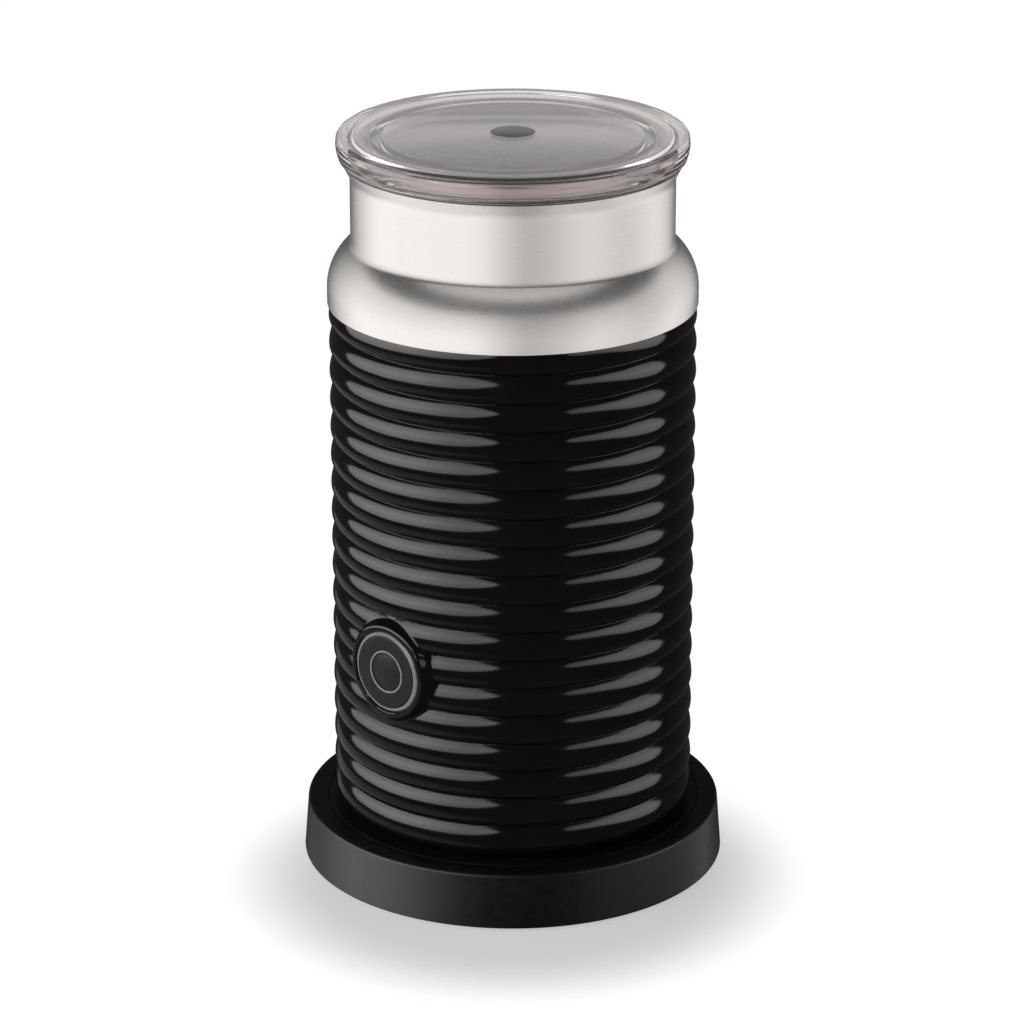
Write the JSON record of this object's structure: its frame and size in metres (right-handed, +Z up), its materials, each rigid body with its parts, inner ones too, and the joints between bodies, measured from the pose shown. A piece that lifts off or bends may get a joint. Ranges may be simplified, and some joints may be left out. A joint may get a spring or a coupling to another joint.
{
  "type": "electric milk frother",
  "caption": "Cordless ribbed black milk-frother jug with satin steel collar, clear round lid, front push button and magnetic whisk, standing on a round powered base.",
  "frame": {"origin": "on the table, under the middle of the round base", "axes": "+Z up along the jug's axis, push button facing -Y, cord gland at +Y"},
  "size_m": [0.1006, 0.1006, 0.1778],
  "materials": {
    "base_plastic": "fine matte spark texture",
    "dark_plastic": "plain moulded",
    "gloss_black": "high gloss black",
    "button_black": "satin",
    "light_ring": "translucent grey",
    "badge": "printed dark disc",
    "clear_lid": "clear smoky plastic, polished",
    "clear_silicone": "translucent silicone",
    "brushed_steel": "satin brushed stainless",
    "vessel_steel": "stainless",
    "screw_steel": "zinc plated",
    "motor_steel": "plated sheet",
    "aluminium": "mill finish",
    "heater_sheath": "oxidised",
    "brass": "plain",
    "copper": "enamelled windings",
    "magnet": "sintered",
    "ceramic": "off-white",
    "chassis_plastic": "heat-resistant moulding",
    "board": "solder mask",
    "wire_red": "silicone insulation",
    "foot_rubber": "matte rubber"
  },
  "bodies": {
    "base": {"base_housing": "base_plastic", "base_connector": "dark_plastic", "base_contacts": "brass", "base_bottom_cover": "base_plastic", "base_feet": "foot_rubber", "base_screws": "screw_steel", "cord_gland": "foot_rubber"},
    "inlet": {"jug_inlet": "dark_plastic", "inlet_contacts": "brass"},
    "jug": {"ribbed_sleeve": "gloss_black", "sleeve_gasket": "clear_silicone", "steel_collar": "brushed_steel", "milk_vessel": "vessel_steel", "whisk_spindle": "vessel_steel", "heat_plate": "aluminium", "heater_element": "heater_sheath", "thermostat": "ceramic", "thermal_cutoff": "brass", "vessel_studs": "screw_steel", "stud_spacers": "ceramic", "stud_nuts": "screw_steel", "chassis": "chassis_plastic", "motor_can": "motor_steel", "motor_magnets": "magnet", "motor_end_cap": "chassis_plastic", "motor_bushes": "brass", "motor_screws": "screw_steel", "control_board": "board", "board_components": "dark_plastic", "lead_wires": "wire_red", "jug_bottom_cover": "base_plastic", "bottom_screws": "screw_steel", "button_guide": "dark_plastic", "button_light_ring": "light_ring", "button_board": "board", "button_board_screws": "screw_steel", "tact_switch": "dark_plastic"},
    "rotor": {"motor_shaft": "screw_steel", "motor_armature": "copper", "magnet_carrier": "chassis_plastic", "drive_magnets": "magnet"},
    "whisk_bearing": {"whisk_bush": "ceramic"},
    "whisk": {"whisk_hub": "dark_plastic", "whisk_magnet": "magnet", "whisk_frame": "vessel_steel", "whisk_coil": "vessel_steel"},
    "lid": {"lid_cover": "clear_lid", "lid_seal": "clear_silicone", "lid_badge": "badge"},
    "button": {"button_cap": "button_black", "button_inlay": "light_ring"},
    "plunger": {"switch_plunger": "ceramic"}
  },
  "joints": [
    {"name": "jug_lift", "type": "slide", "parent": "base", "child": "inlet", "axis": [0, 0, 1], "range_m": [0, 0.06]},
    {"name": "jug_swivel", "type": "hinge", "parent": "inlet", "child": "jug", "pos_m": [0, 0, 0.02], "axis": [0, 0, 1], "continuous": true},
    {"name": "rotor_spin", "type": "hinge", "parent": "jug", "child": "rotor", "pos_m": [0, 0, 0.05], "axis": [0, 0, 1], "continuous": true},
    {"name": "whisk_lift", "type": "slide", "parent": "jug", "child": "whisk_bearing", "axis": [0, 0, 1], "range_m": [0, 0.05]},
    {"name": "whisk_spin", "type": "hinge", "parent": "whisk_bearing", "child": "whisk", "pos_m": [0, 0, 0.088], "axis": [0, 0, 1], "continuous": true},
    {"name": "lid_lift", "type": "slide", "parent": "jug", "child": "lid", "axis": [0, 0, 1], "range_m": [0, 0.06]},
    {"name": "button_press", "type": "slide", "parent": "jug", "child": "button", "axis": [0, 1, 0], "range_m": [0, 0.0008], "stiffness_N_per_m": 900, "springref_m": -0.0012},
    {"name": "plunger_press", "type": "slide", "parent": "jug", "child": "plunger", "axis": [0, 1, 0], "range_m": [0, 0.0008]}
  ],
  "couplings": [
    {"joint": "whisk_spin", "follows": "rotor_spin", "ratio": 1},
    {"joint": "plunger_press", "follows": "button_press", "ratio": 1}
  ]
}
